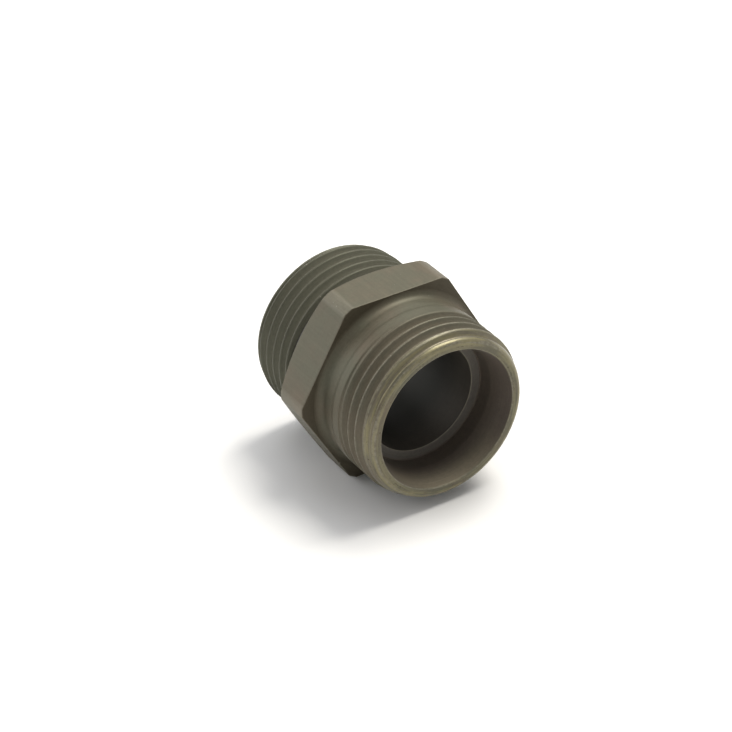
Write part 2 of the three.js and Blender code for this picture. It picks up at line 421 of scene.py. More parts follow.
def places(w, radius, along):
    """Masks, 0 to 1, of the places on the body that have a look of their own."""
    outside = w.ramp(radius, MOUTH_RADIUS - BLEND, MOUTH_RADIUS + BLEND)
    past_shoulder = w.ramp(along, SHOULDER_X - 2 * BLEND, SHOULDER_X - BLEND)
    socket = w.product(w.math("SUBTRACT", 1.0, outside), past_shoulder)
    bore = w.fall(radius, BORE_RADIUS + BLEND / 2, BORE_RADIUS + 2 * BLEND)
    inside = w.math("MAXIMUM", socket, bore)
    _, _, _, height = here(w)
    relief_x = HEX_REAR_X - RELIEF_LENGTH
    return {
        "socket": socket,
        "bore": bore,
        "inside": inside,
        "not_inside": w.math("SUBTRACT", 1.0, inside),
        "seat": w.fall(radius, SEAT_RADIUS, MOUTH_RADIUS - 2 * BLEND),
        "shoulder": w.fall(radius, SEAT_RADIUS - 3.5 * BLEND, SEAT_RADIUS - BLEND),
        "deep": w.ramp(along, SHOULDER_X - 1.0 * MM, SHOULDER_X - 9.0 * MM),
        "low": w.ramp(w.math("DIVIDE", height, radius), -0.35, -0.95),
        "lip": w.fall(radius, NOSE_RADIUS - 1.0 * MM, NOSE_RADIUS - 0.4 * MM),
        "nose": w.product(outside, w.ramp(along, NOSE_X - 2.9 * MM, NOSE_X - 1.2 * MM)),
        "stud_end": w.fall(along, HEX_REAR_X - 1.0 * MM, HEX_REAR_X + 0.5 * MM),
        "ahead_of_stud": w.ramp(along, HEX_REAR_X - 1.0 * MM, HEX_REAR_X),
        "last_crests": w.ramp(along, NOSE_X - 6.0 * MM, NOSE_X - 2.0 * MM),
        "face": w.product(w.ramp(along, HEX_FRONT_X - 1.2 * BLEND, HEX_FRONT_X - 0.2 * BLEND),
                          w.ramp(radius, NECK_RADIUS + BLEND, NECK_RADIUS + 1.4 * MM)),
        "relief": w.product(w.ramp(along, relief_x - 1.5 * BLEND, relief_x + 1.5 * BLEND),
                            w.fall(along, HEX_REAR_X - 0.6 * BLEND, HEX_REAR_X)),
    }


# %% [markdown]
# ## From bar to worn fitting
#
# The colours are laid on in this order: the plating with its warm and green patches, painted shade
# on the hexagon's front face, painted light in the thread's roots and painted shade in the relief
# groove, then painted light and shade in the socket and the bore, and last what use has done, the
# worn crests, the streaked nose and a few nicks.

# %% The colour of the steel
def steel_colour(w, at, facts, worn, nose, nick):
    """The body's colour before the tool marks shade it."""
    edge, depth, warm, green = facts
    colour = w.mix_colour(w.product(warm, 0.6), PLATING, WARM_PLATING)
    greenish = w.math("MAXIMUM", w.product(green, 0.6), w.product(at["stud_end"], 0.9))
    colour = w.mix_colour(greenish, colour, GREEN_PLATING)
    # Painted shade on the hexagon's front face, fading out towards the neck.
    colour = w.mix_colour(w.product(at["face"], 0.85), colour, PAINTED_FRONT_FACE_SHADE)
    # Painted light in the thread roots, greener on the stud end.
    root = w.mix_colour(at["stud_end"], PAINTED_ROOT_LIGHT, PAINTED_GREEN_ROOT_LIGHT)
    colour = w.mix_colour(depth, colour, root)
    colour = w.mix_colour(w.product(edge, at["stud_end"], 0.8), colour, DULL_CREST)
    # Painted shade in the relief groove behind the hexagon.
    colour = w.mix_colour(at["relief"], colour, PAINTED_RELIEF_SHADE)
    # Painted light on the socket cone, lighter towards the bottom.
    hollow = w.mix_colour(at["low"], PAINTED_CONE_LIGHT, PAINTED_LOW_CONE_LIGHT)
    # Painted light on the seat and the stop shoulder.
    hollow = w.mix_colour(at["seat"], hollow, PAINTED_SEAT_LIGHT)
    hollow = w.mix_colour(at["shoulder"], hollow, PAINTED_SHOULDER_LIGHT)
    # Painted shade in the bore, darker the deeper it goes.
    bore = w.mix_colour(at["deep"], PAINTED_BORE_SHADE, PAINTED_DEEP_BORE_SHADE)
    hollow = w.mix_colour(at["bore"], hollow, bore)
    colour = w.mix_colour(at["inside"], colour, hollow)
    bore_edge = w.product(edge, at["shoulder"], at["socket"], 0.7)
    colour = w.mix_colour(w.math("MAXIMUM", worn, bore_edge), colour, WORN_PLATING)
    colour = w.mix_colour(nose, colour, BRASSY)
    return w.mix_colour(w.product(nick, 0.6), colour, BARE_STEEL)


# %% The whole finish
def plated_steel():
    material, surface, w = new_material("plated_steel")
    edge, depth, on_flat = stored(w, "edge"), stored(w, "depth"), stored(w, "hexagon")

    def patch(size, seed, softness):
        inputs = {"Size in mm": size, "Seed": seed, "Softness": softness}
        return w.group(PATCHES, inputs).outputs["Patch"]

    rings = w.group(RING_MARKS, {"Marks per mm": 5.0, "Waver": 1.2})
    coarse = w.group(RING_MARKS, {"Marks per mm": 1.3, "Waver": 0.8}).outputs["Marks"]
    streaks = w.group(RING_MARKS, {"Marks per mm": 2.4, "Waver": 2.6}).outputs["Marks"]
    grain = w.group(DRAWN_GRAIN, {"Lines per mm": 1.8, "Stretch": 9.0}).outputs["Grain"]
    marks = w.mix_value(on_flat, rings.outputs["Marks"], grain)
    warm, green, speckle = patch(7.0, 3.0, 0.14), patch(9.0, 8.0, 0.12), patch(0.5, 1.0, 0.2)
    at = places(w, rings.outputs["Radius"], rings.outputs["Along"])

    nose = w.product(at["nose"], w.mix_value(w.ramp(streaks, 0.42, 0.62), 0.1, 0.95),
                     w.mix_value(at["lip"], 1.0, 0.45))
    rub = w.add(w.product(at["ahead_of_stud"], 0.6), w.product(at["last_crests"], 0.35))
    rubbing = w.group(RUBBED_EDGES, {"Edge": edge, "Amount": rub, "Break-up in mm": 0.7})
    worn = w.product(w.mix_value(on_flat, rubbing.outputs["Rubbed"], w.product(edge, 0.42)),
                     at["not_inside"])
    dents = w.group(NICKS, {"Edge": edge, "Size in mm": 0.4, "Sparseness": 0.81})
    nick = w.product(dents.outputs["Nick"], at["not_inside"])

    colour = steel_colour(w, at, (edge, depth, warm, green), worn, nose, nick)
    shade = w.add(0.70, w.product(marks, 0.44), w.product(speckle, 0.12))
    w.feed(surface.inputs["Base Color"], w.times_colour(colour, shade))
    roughness = w.add(0.40, w.product(marks, 0.16), w.product(speckle, 0.06))
    smoother = w.product(at["nose"], 0.2)
    w.feed(surface.inputs["Roughness"], w.math("SUBTRACT", roughness, smoother))
    surface.inputs["Metallic"].default_value = 0.35
    surface.inputs["Specular IOR Level"].default_value = 0.2
    height = w.add(w.product(marks, 0.5), w.product(coarse, 0.5), w.product(speckle, 0.25),
                   w.product(at["nose"], streaks, 0.8), w.product(nick, -1.5))
    bump = w.node("ShaderNodeBump", {"Height": height, "Strength": 0.35, "Distance": 0.02 * MM})
    w.feed(surface.inputs["Normal"], bump.outputs["Normal"])
    return material


STEEL = plated_steel()

# %% [markdown]
# ## The rubber
#
# The seal is black nitrile rubber. It isn't metal at all: nearly black, matt, with the faint marks
# of its mould and a little dust, which comes from the same patches as the plating's.

# %% The seal rubber
BLACK_RUBBER = (0.012, 0.012, 0.011, 1)
DUSTY_RUBBER = (0.028, 0.026, 0.022, 1)


def seal_rubber():
    material, surface, w = new_material("seal_rubber")
    rings = w.group(RING_MARKS, {"Marks per mm": 4.0, "Waver": 2.0}).outputs["Marks"]
    dust = w.group(PATCHES, {"Size in mm": 1.5, "Seed": 5.0, "Softness": 0.2}).outputs["Patch"]
    colour = w.mix_colour(w.product(dust, 0.35), BLACK_RUBBER, DUSTY_RUBBER)
    w.feed(surface.inputs["Base Color"], colour)
    w.feed(surface.inputs["Roughness"], w.add(0.55, w.product(dust, 0.2)))
    bump = w.node("ShaderNodeBump", {"Height": rings, "Strength": 0.3, "Distance": 0.02 * MM})
    w.feed(surface.inputs["Normal"], bump.outputs["Normal"])
    return material


RUBBER = seal_rubber()

# %% [markdown]
# ## Columns round the bore
#
# Every surface of the body is a sheet of columns and rows wrapped round the bore axis. The columns
# are shared by all of them, so that the sheets meet point to point. They are wide apart on the
# flats of the hexagon and close together at its corners, where the turned strip has two edges.
# A small node group turns a column's number into its angle, and gives the hexagon's radius there.

# %% The column rule
FLAT_STEPS = 18  # columns from the middle of a flat to near its edge
CORNER_STEPS = 6  # columns from there to the corner
FLAT_STEP = math.radians(1.5)
CORNER_STEP = math.radians(0.5)
SECTOR_COLUMNS = 2 * (FLAT_STEPS + CORNER_STEPS)
COLUMNS = 6 * SECTOR_COLUMNS
FIRST_ANGLE = math.pi / 2  # column 0 is the middle of the flat that faces up


def column_rule():
    tree, given, result, w = new_tree(
        "GeometryNodeTree", "Column rule",
        [("Rows", INTEGER, 2), ("Flat radius", FLOAT, FLAT_RADIUS),
         ("Corner radius", FLOAT, CORNER_RADIUS)],
        [("Angle", FLOAT), ("Row", FLOAT), ("Hexagon radius", FLOAT), ("Corner", FLOAT)])
    index = w.node("GeometryNodeInputIndex").outputs[0]
    column = w.math("FLOOR", w.math("DIVIDE", index, given["Rows"]))
    row = w.math("SUBTRACT", index, w.product(column, given["Rows"]))
    sector = w.math("FLOOR", w.add(w.math("DIVIDE", column, SECTOR_COLUMNS), 0.5))
    place = w.math("SUBTRACT", column, w.product(sector, SECTOR_COLUMNS))
    away = w.math("ABSOLUTE", place)
    on_flat = w.product(w.math("MINIMUM", away, FLAT_STEPS), FLAT_STEP)
    past_flat = w.product(w.math("MAXIMUM", w.math("SUBTRACT", away, FLAT_STEPS), 0), CORNER_STEP)
    local = w.add(on_flat, past_flat)
    signed = w.product(local, w.math("SIGN", place))
    angle = w.add(w.product(sector, math.pi / 3), signed, FIRST_ANGLE)
    straight = w.math("DIVIDE", given["Flat radius"], w.math("COSINE", local))
    hexagon = w.math("MINIMUM", straight, given["Corner radius"])
    corner = w.ramp(local, math.radians(25.5), math.radians(27.5))
    for label, value in (("Angle", angle), ("Row", row), ("Hexagon radius", hexagon),
                         ("Corner", corner)):
        w.feed(result[label], value)
    return tree


COLUMN_RULE = column_rule()
print("columns in one turn:", COLUMNS)

# %% [markdown]
# ## Turned surfaces and the hexagon
#
# A turned surface is an outline spun round the axis. An outline here is a short chain of points in
# the X-Z plane, so Geometry Nodes can read it by row and swing each point round by its column's
# angle. The hexagon comes out of the same rule: a point of the outline may follow the hexagon's
# radius instead of staying on a circle. How far it follows, outwards and along, is stored on the
# point. Spinning an outline with the Screw modifier would be quicker, but it knows no flats.

# %% What every skin tree ends with
def finished(w, skin, finish, **facts):
    """Stores the facts that the finish reads, and ends the tree with its material."""
    last = skin.outputs["Geometry"]
    for name, value in facts.items():
        keep = w.node("GeometryNodeStoreNamedAttribute", data_type="FLOAT", domain="POINT")
        for label, fact in (("Geometry", last), ("Name", name), ("Value", value)):
            w.feed(keep.inputs[label], fact)
        last = keep.outputs["Geometry"]
    real = w.node("GeometryNodeRealizeInstances", {"Geometry": last})
    coated = w.node("GeometryNodeSetMaterial", {"Geometry": real.outputs["Geometry"]})
    w.feed(coated.inputs["Material"], finish)
    return coated.outputs["Geometry"]


# %% The spinning tree
def spinning_tree():
    tree, given, result, w = new_tree(
        "GeometryNodeTree", "Spin an outline",
        [("Outline", GEOMETRY, None), ("Flat radius", FLOAT, FLAT_RADIUS),
         ("Corner radius", FLOAT, CORNER_RADIUS), ("Finish", MATERIAL, None)],
        [("Skin", GEOMETRY)])
    size = w.node("GeometryNodeAttributeDomainSize", {"Geometry": given["Outline"]})
    rows = size.outputs["Point Count"]
    grid = w.node("GeometryNodeMeshGrid", {"Vertices X": COLUMNS + 1, "Vertices Y": rows})
    rule = w.group(COLUMN_RULE, {"Rows": rows, "Flat radius": given["Flat radius"],
                                 "Corner radius": given["Corner radius"]})

    def on_outline(value, data_type):
        sample = w.node("GeometryNodeSampleIndex", data_type=data_type, domain="POINT")
        w.feed(sample.inputs["Geometry"], given["Outline"])
        w.feed(sample.inputs["Value"], value)
        w.feed(sample.inputs["Index"], rule.outputs["Row"])
        return sample.outputs["Value"]

    def stored(name):
        read = w.node("GeometryNodeInputNamedAttribute", {"Name": name}, data_type="FLOAT")
        return on_outline(read.outputs["Attribute"], "FLOAT")

    place = w.node("ShaderNodeSeparateXYZ")
    position = w.node("GeometryNodeInputPosition").outputs[0]
    w.feed(place.inputs[0], on_outline(position, "FLOAT_VECTOR"))
    beyond = w.math("SUBTRACT", rule.outputs["Hexagon radius"], given["Flat radius"])
    x = w.add(place.outputs["X"], w.product(stored("follow_along"), beyond))
    radius = w.add(place.outputs["Z"], w.product(stored("follow_out"), beyond))
    angle = rule.outputs["Angle"]
    wrapped = w.vector(x, w.product(radius, w.math("COSINE", angle)),
                       w.product(radius, w.math("SINE", angle)))
    skin = w.node("GeometryNodeSetPosition",
                  {"Geometry": grid.outputs["Mesh"], "Position": wrapped})
    # A turned corner of the hexagon is worn like an edge.
    corner_wear = w.product(rule.outputs["Corner"], stored("hexagon"), 0.9)
    wear = w.math("MAXIMUM", stored("edge"), corner_wear)
    w.feed(result["Skin"], finished(w, skin, given["Finish"], edge=wear,
                                    hexagon=stored("hexagon"), depth=stored("depth")))
    return tree


SPIN = spinning_tree()

# %% [markdown]
# ## Drawing an outline
#
# A lathe tool never leaves a corner perfectly sharp, and a rendered edge only catches light if it
# is rounded. So each corner of an outline names its rounding, and this function replaces it by a
# short arc. It also adds a point just beyond each end of the arc: with smooth shading, these keep
# the shading of the arc from spreading over the long straight surfaces beside it.

# %% Rounding the corners of an outline
ARC_STEPS = 4
SUPPORT = 0.12 * MM


class Corner:
    """One corner of an outline, with its rounding and how it follows the hexagon's radius."""

    def __init__(self, x, radius, rounding=0.0, follow=(0.0, 0.0), hexagon=0.0, depth=0.0):
        self.at = Vector((x, radius))
        self.rounding = rounding
        self.follow = Vector(follow)
        self.hexagon = hexagon
        self.depth = depth


def blended(first, second, share):
    """Facts of a point part way between two corners."""
    return (first.follow.lerp(second.follow, share),
            first.hexagon + (second.hexagon - first.hexagon) * share,
            first.depth + (second.depth - first.depth) * share)


def rounded(corners, spacing=0.8 * MM):
    """The outline's points, each (x and radius, follow, hexagon, depth, edge)."""
    points = []

    def straight(first, second, start, end):
        """Support points and evenly spaced points on the straight between two corners."""
        run = (second.at - first.at).length
        stops = [start]
        if end - start > 3 * SUPPORT:
            inner = end - start - 2 * SUPPORT
            pieces = max(1, math.ceil(inner / spacing))
            stops += [start + SUPPORT + inner * i / pieces for i in range(pieces + 1)]
        stops.append(end)
        for stop in stops:
            share = stop / run
            points.append((first.at.lerp(second.at, share), *blended(first, second, share), 0.0))

    def reach(index):
        """How far the rounding of a corner reaches along its two straights."""
        if index in (0, len(corners) - 1) or not corners[index].rounding:
            return 0.0
        back = (corners[index - 1].at - corners[index].at).normalized()
        ahead = (corners[index + 1].at - corners[index].at).normalized()
        half = back.angle(ahead) / 2
        return corners[index].rounding / math.tan(half)

    for index in range(len(corners) - 1):
        first, second = corners[index], corners[index + 1]
        run = (second.at - first.at).length
        straight(first, second, reach(index), run - reach(index + 1))
        if index + 2 < len(corners) and second.rounding:
            back = (first.at - second.at).normalized()
            ahead = (corners[index + 2].at - second.at).normalized()
            middle = (back + ahead).normalized()
            centre = second.at + middle * (second.rounding / math.sin(back.angle(ahead) / 2))
            start = second.at + back * reach(index + 1) - centre
            end = second.at + ahead * reach(index + 1) - centre
            for step in range(1, ARC_STEPS):
                spoke = start.slerp(end, step / ARC_STEPS).normalized() * second.rounding
                turn_out = back.cross(ahead)
                edge = 1.0 if turn_out > 0 else 0.0
                facts = (second.follow, second.hexagon, second.depth)
                points.append((centre + spoke, *facts, edge))
    return points


def outline_mesh(name, corners):
    """An outline as a chain of points in the X-Z plane, with its facts stored on the points."""
    points = rounded(corners)
    mesh = bpy.data.meshes.new(name)
    mesh.from_pydata([(at.x, 0.0, at.y) for at, *_ in points],
                     [(i, i + 1) for i in range(len(points) - 1)], [])
    facts = {
        "follow_along": [follow.x for _, follow, *_ in points],
        "follow_out": [follow.y for _, follow, *_ in points],
        "hexagon": [hexagon for _, _, hexagon, _, _ in points],
        "depth": [depth for _, _, _, depth, _ in points],
        "edge": [edge for *_, edge in points],
    }
    for label, values in facts.items():
        mesh.attributes.new(label, "FLOAT", "POINT").data.foreach_set("value", values)
    print(f"{name}: {len(corners)} corners became {len(points)} points")
    return mesh

# %% [markdown]
# ## The threads
#
# A thread is the same groove carried round and round along the bore, one pitch further on for each
# turn. Its rows have to lean with the helix, or the crests would come out as a row of small steps.
# So each row of this sheet moves along by one pitch in a turn, and is held back at both ends of the
# threaded length. The depth of the cut then follows from two numbers only: the place along the bore
# and the turn. The same tree makes both ends; only its inputs change.
#
# On the socket end the lathe tool enters the plain shank beside the neck, shallow at first, and its
# first turn advances less than a full pitch. Two more inputs say where it enters and how fast it
# moves there.

# %% The threading tree
ROWS_PER_PITCH = 18
WHOLE_TURN = 2 * math.pi
ENTRY_SHARE = 0.015  # of a turn, in which the tool goes in
END_FADE = 0.35 * MM
CREST_CUT = 0.12 * MM  # cut deeper than this, a point is on the flank
CREST_FROM, CREST_TO = 0.82 * MM, 0.95 * MM  # from the groove's middle


def threading_tree():
    tree, given, result, w = new_tree(
        "GeometryNodeTree", "Cut a thread",
        [("Blank", GEOMETRY, None), ("Low end", FLOAT, 0.0), ("High end", FLOAT, 0.01),
         ("Thread radius", FLOAT, THREAD_RADIUS), ("Pitch", FLOAT, PITCH),
         ("Depth", FLOAT, THREAD_DEPTH), ("Root half width", FLOAT, ROOT_HALF_WIDTH),
         ("Crest at", FLOAT, 0.0), ("Crest rounding", FLOAT, 0.1 * MM),
         ("Root rounding", FLOAT, 0.3 * MM),
         ("Entry turn", FLOAT, -100.0), ("Entry lead", FLOAT, PITCH), ("Entry depth", FLOAT, 0.0),
         ("Low slope starts", FLOAT, 0.0), ("Low slope", FLOAT, 0.0),
         ("High slope starts", FLOAT, 0.0), ("High slope", FLOAT, 0.0),
         ("Fade low", FLOAT, 0.0), ("Fade high", FLOAT, 0.0), ("Finish", MATERIAL, None)],
        [("Skin", GEOMETRY)])
    pitch = given["Pitch"]
    span = w.math("SUBTRACT", given["High end"], given["Low end"])
    turns = w.math("CEIL", w.add(w.math("DIVIDE", span, pitch), 1.0))
    rows = w.add(w.product(turns, ROWS_PER_PITCH), 1.0)
    grid = w.node("GeometryNodeMeshGrid", {"Vertices X": COLUMNS + 1, "Vertices Y": rows})
    rule = w.group(COLUMN_RULE, {"Rows": rows})
    angle = rule.outputs["Angle"]
    turn = w.math("DIVIDE", angle, WHOLE_TURN)
    # A row starts one pitch before the threaded length and gains one pitch in a turn.
    stepped = w.math("DIVIDE", w.product(rule.outputs["Row"], pitch), ROWS_PER_PITCH)
    gained = w.product(w.math("SUBTRACT", turn, FIRST_ANGLE / WHOLE_TURN + 1.0), pitch)
    free = w.add(given["Low end"], stepped, gained)
    x = w.clamp(free, given["Low end"], given["High end"])
    # The nearest turn of the groove, and how far the point is from its middle.
    first_groove = w.math("SUBTRACT", given["Crest at"], w.product(pitch, 0.5))
    helical = w.math("SUBTRACT", w.math("DIVIDE", w.math("SUBTRACT", x, first_groove), pitch), turn)
    nearest = w.math("FLOOR", w.add(helical, 0.5))
    offset = w.product(w.math("SUBTRACT", helical, nearest), pitch)
    since_entry = w.math("SUBTRACT", w.add(turn, nearest), given["Entry turn"])
    settled = w.clamp(since_entry)
    begun = w.ramp(since_entry, 0.0, ENTRY_SHARE)
    lag = w.product(w.math("SUBTRACT", pitch, given["Entry lead"]),
                    w.math("SUBTRACT", 1.0, settled))
    deepening = w.product(w.math("SUBTRACT", given["Depth"], given["Entry depth"]), settled)
    full = w.add(given["Entry depth"], deepening)
    distance = w.math("ABSOLUTE", w.math("SUBTRACT", offset, lag))
    flank = w.product(w.math("SUBTRACT", distance, given["Root half width"]), math.sqrt(3))
    bottom = w.math("SMOOTH_MIN", w.math("SUBTRACT", full, flank), full, given["Root rounding"])
    groove = w.math("SMOOTH_MAX", bottom, 0.0, given["Crest rounding"])

    def fading(from_end, share):
        """0 at the end and 1 from END_FADE on, or 1 all along where share is 0."""
        grown = w.math("DIVIDE", from_end, END_FADE)
        return w.clamp(w.add(grown, w.math("SUBTRACT", 1.0, share)))

    fade = w.product(fading(w.math("SUBTRACT", x, given["Low end"]), given["Fade low"]),
                     fading(w.math("SUBTRACT", given["High end"], x), given["Fade high"]))
    cut = w.product(groove, begun, fade)
    # The sloping ends: a chamfer, a neck or the wall of the relief groove.
    low = w.product(w.math("SUBTRACT", given["Low slope starts"], x), given["Low slope"])
    high = w.product(w.math("SUBTRACT", x, given["High slope starts"]), given["High slope"])
    sloped = w.math("MAXIMUM", w.math("MAXIMUM", low, high), 0.0)
    away = w.math("MAXIMUM", cut, sloped)
    radius = w.math("SUBTRACT", given["Thread radius"], away)
    wrapped = w.vector(x, w.product(radius, w.math("COSINE", angle)),
                       w.product(radius, w.math("SINE", angle)))
    skin = w.node("GeometryNodeSetPosition",
                  {"Geometry": grid.outputs["Mesh"], "Position": wrapped})
    # Only a crest between two full turns is worn; the plain shank before the thread isn't.
    crest = w.product(w.fall(cut, 0.0, CREST_CUT), w.ramp(distance, CREST_FROM, CREST_TO),
                      w.ramp(since_entry, 0.7, 1.4))
    w.feed(result["Skin"], finished(w, skin, given["Finish"], edge=crest, hexagon=0.0,
                                    depth=w.math("DIVIDE", cut, given["Depth"])))
    return tree


THREAD = threading_tree()
blank = bpy.data.meshes.new("blank")  # the tree makes its own grid, so it starts from nothing
print("threading tree:", len(THREAD.nodes), "nodes")

# %% [markdown]
# ## The stud end's thread
#
# The stud end is screwed into a valve or a pump. Its thread is cut full depth from the chamfer at
# the end to the relief groove, where the tool has room to leave the cut. So this end needs no entry
# turn: the cut fades only over the last bit of the chamfer, where the end's rounding takes over.

# %% Cut the stud end's thread
STUD_CREST_X = -10.35 * MM
stud_chamfer_slope = (THREAD_RADIUS - STUD_FACE_RADIUS) / STUD_CHAMFER_LENGTH
relief_start_x = HEX_REAR_X - RELIEF_LENGTH
relief_bottom_x = HEX_REAR_X - RELIEF_BOTTOM_LENGTH
STUD_EDGE = 0.35 * MM  # the end rounding takes this much of the chamfer's length
stud_thread = grow("stud_thread_skin", THREAD, {
    "Low end": STUD_X + STUD_EDGE,
    "High end": relief_bottom_x,
    "Crest at": STUD_CREST_X,
    "Low slope starts": STUD_X + STUD_CHAMFER_LENGTH,
    "Low slope": stud_chamfer_slope,
    "High slope starts": relief_start_x,
    "High slope": (THREAD_RADIUS - RELIEF_RADIUS) / (relief_bottom_x - relief_start_x),
    "Fade low": 1.0,
    "Finish": STEEL,
}, blank)

# %% [markdown]
# ## The socket end's thread
#
# A nut runs on this end. There is no relief groove here: the tool enters the plain shank beside the
# neck, so the first turn starts shallow. The shank steps down to the neck by a gentle slope, which
# is the only trace of the roughing cut.

# %% Cut the socket end's thread
SOCKET_CREST_X = 10.42 * MM
NECK_STEP_X = HEX_FRONT_X + 4.0 * MM  # the shank is at the thread's full radius from here
NECK_STEP_SLOPE = 0.3
neck_end_x = NECK_STEP_X - (THREAD_RADIUS - NECK_RADIUS) / NECK_STEP_SLOPE
nose_slope = (THREAD_RADIUS - NOSE_RADIUS) / NOSE_CHAMFER_LENGTH
NOSE_EDGE = 0.55 * MM
socket_thread = grow("socket_thread_skin", THREAD, {
    "Low end": neck_end_x,
    "High end": NOSE_X - NOSE_EDGE,
    "Crest at": SOCKET_CREST_X,
    "Entry turn": -0.71,
    "Entry lead": 1.35 * MM,
    "Entry depth": 0.12 * MM,
    "Low slope starts": NECK_STEP_X,
    "Low slope": NECK_STEP_SLOPE,
    "High slope starts": NOSE_X - NOSE_CHAMFER_LENGTH,
    "High slope": nose_slope,
    "Fade high": 1.0,
    "Finish": STEEL,
}, blank)

# %% [markdown]
# ## The hexagon, the neck and the relief groove
#
# One outline runs from the bottom of the relief groove, up the washer face, over the chamfer that
# was turned behind the hexagon, along a flat, down the hexagon's front face and through the fillet
# to the neck. Only the points of the flat and its two edges follow the hexagon's radius, so the
# chamfer meets each flat in a curved line, as it does on every turned hexagon.

# %% Spin the middle
fillet_top = NECK_RADIUS + NECK_FILLET
flat_rear_x = HEX_REAR_X + (FLAT_RADIUS - WASHER_FACE_RADIUS) * HEX_CHAMFER_SLOPE
middle_outline = outline_mesh("middle_outline", [
    Corner(relief_bottom_x, RELIEF_RADIUS, depth=1.0),
    Corner(HEX_REAR_X, RELIEF_RADIUS, 0.3 * MM, depth=1.0),
    Corner(HEX_REAR_X, WASHER_FACE_RADIUS, 0.08 * MM),
    Corner(flat_rear_x, FLAT_RADIUS, 0.1 * MM, (HEX_CHAMFER_SLOPE, 1.0), hexagon=1.0),
    Corner(HEX_FRONT_X, FLAT_RADIUS, 0.1 * MM, (0.0, 1.0), hexagon=1.0),
    Corner(HEX_FRONT_X, fillet_top + 0.04 * MM, 0.0, (0.0, 0.95)),
    Corner(HEX_FRONT_X, fillet_top + 0.01 * MM),
    Corner(HEX_FRONT_X, NECK_RADIUS, NECK_FILLET),
    Corner(neck_end_x, NECK_RADIUS),
])
middle = grow("middle_skin", SPIN, {"Finish": STEEL}, middle_outline)

# %% [markdown]
# ## The nose, the socket and the bore
#
# The second outline starts on the nose chamfer, rounds the lip, and goes down the 24 degree cone,
# the short seat for the tube, the flat stop shoulder and the through bore to the stud's end.

# %% Spin the inside
seat_start_x = NOSE_X - (MOUTH_RADIUS - SEAT_RADIUS) / CONE_SLOPE
BORE_EXIT_CHAMFER = 0.6 * MM
inside_outline = outline_mesh("inside_outline", [
    Corner(NOSE_X - NOSE_EDGE, NOSE_RADIUS + NOSE_EDGE * nose_slope),
    Corner(NOSE_X, NOSE_RADIUS, NOSE_ROUNDING),
    Corner(NOSE_X, MOUTH_RADIUS, 0.25 * MM),
    Corner(seat_start_x, SEAT_RADIUS, 2.0 * MM),
    Corner(SHOULDER_X, SEAT_RADIUS, 0.1 * MM),
    Corner(SHOULDER_X, BORE_RADIUS, 0.14 * MM),
    Corner(STUD_X + BORE_EXIT_CHAMFER, BORE_RADIUS, 0.1 * MM),
    Corner(STUD_X, BORE_RADIUS + BORE_EXIT_CHAMFER, 0.1 * MM),
    Corner(STUD_X, STUD_FACE_RADIUS, 0.3 * MM),
    Corner(STUD_X + STUD_EDGE, STUD_FACE_RADIUS + STUD_EDGE * stud_chamfer_slope),
])
inside = grow("inside_skin", SPIN, {"Finish": STEEL}, inside_outline)

# %% [markdown]
# ## One closed body
#
# The four sheets meet along shared circles. Joining them and merging the points that fall together
# closes the body. A count of open edges and the enclosed volume show that it really is one solid.

# %% Weld the skins
def welded(name, meshes):
    work = bmesh.new()
    for mesh in meshes:
        work.from_mesh(mesh)
    bmesh.ops.remove_doubles(work, verts=work.verts, dist=0.002 * MM)
    bmesh.ops.recalc_face_normals(work, faces=work.faces)
    for face in work.faces:
        face.smooth = True
        face.material_index = 0
    open_edges = sum(1 for edge in work.edges if not edge.is_manifold)
    volume = work.calc_volume(signed=True)
    body = bpy.data.meshes.new(name)
    work.to_mesh(body)
    work.free()
    body.materials.append(meshes[0].materials[-1])
    print(f"{name}: {len(body.polygons)} faces, {open_edges} open edges, {volume / MM**3:.0f} mm3")
    return body


body_mesh = welded("machined_body", [stud_thread, middle, socket_thread, inside])
body = bpy.data.objects.new("machined_body", body_mesh)
bpy.context.scene.collection.objects.link(body)

# %% [markdown]
# ## The seal ring
#
# The ring is spun by the same tree from an outline of its own, a rounded bar up to just below the
# thread's crests. The CAD ring is kept clear of the groove all round, so that the two solids never
# touch. This one is a little wider and reaches down to the groove, as a fitted ring does.

# %% Spin the seal ring
seal_low, seal_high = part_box("seal_ring")
SEAL_OUTER = seal_high.z
SEAL_INNER = RELIEF_RADIUS + 0.02 * MM
SEAL_ROUNDING = 0.35 * MM
SEAL_WIDER_AHEAD, SEAL_WIDER_BEHIND = 0.2 * MM, 0.1 * MM
seal_front_x = seal_high.x + SEAL_WIDER_AHEAD
seal_rear_x = seal_low.x - SEAL_WIDER_BEHIND
seal_middle_x = (seal_front_x + seal_rear_x) / 2
seal_outline = outline_mesh("seal_outline", [
    Corner(seal_middle_x, SEAL_OUTER),
    Corner(seal_front_x, SEAL_OUTER, SEAL_ROUNDING),
    Corner(seal_front_x, SEAL_INNER, SEAL_ROUNDING),
    Corner(seal_rear_x, SEAL_INNER, SEAL_ROUNDING),
    Corner(seal_rear_x, SEAL_OUTER, SEAL_ROUNDING),
    Corner(seal_middle_x, SEAL_OUTER),
])
seal_mesh = welded("captive_seal", [grow("seal_skin", SPIN, {"Finish": RUBBER}, seal_outline)])
seal = bpy.data.objects.new("captive_seal", seal_mesh)
bpy.context.scene.collection.objects.link(seal)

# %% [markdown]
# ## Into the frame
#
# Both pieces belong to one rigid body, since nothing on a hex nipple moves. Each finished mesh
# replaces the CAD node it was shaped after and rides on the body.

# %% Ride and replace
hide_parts("nipple_body")
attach(body, "root")
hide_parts("seal_ring")
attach(seal, "root")
print("replaced:", "nipple_body by", body.name, "and seal_ring by", seal.name)

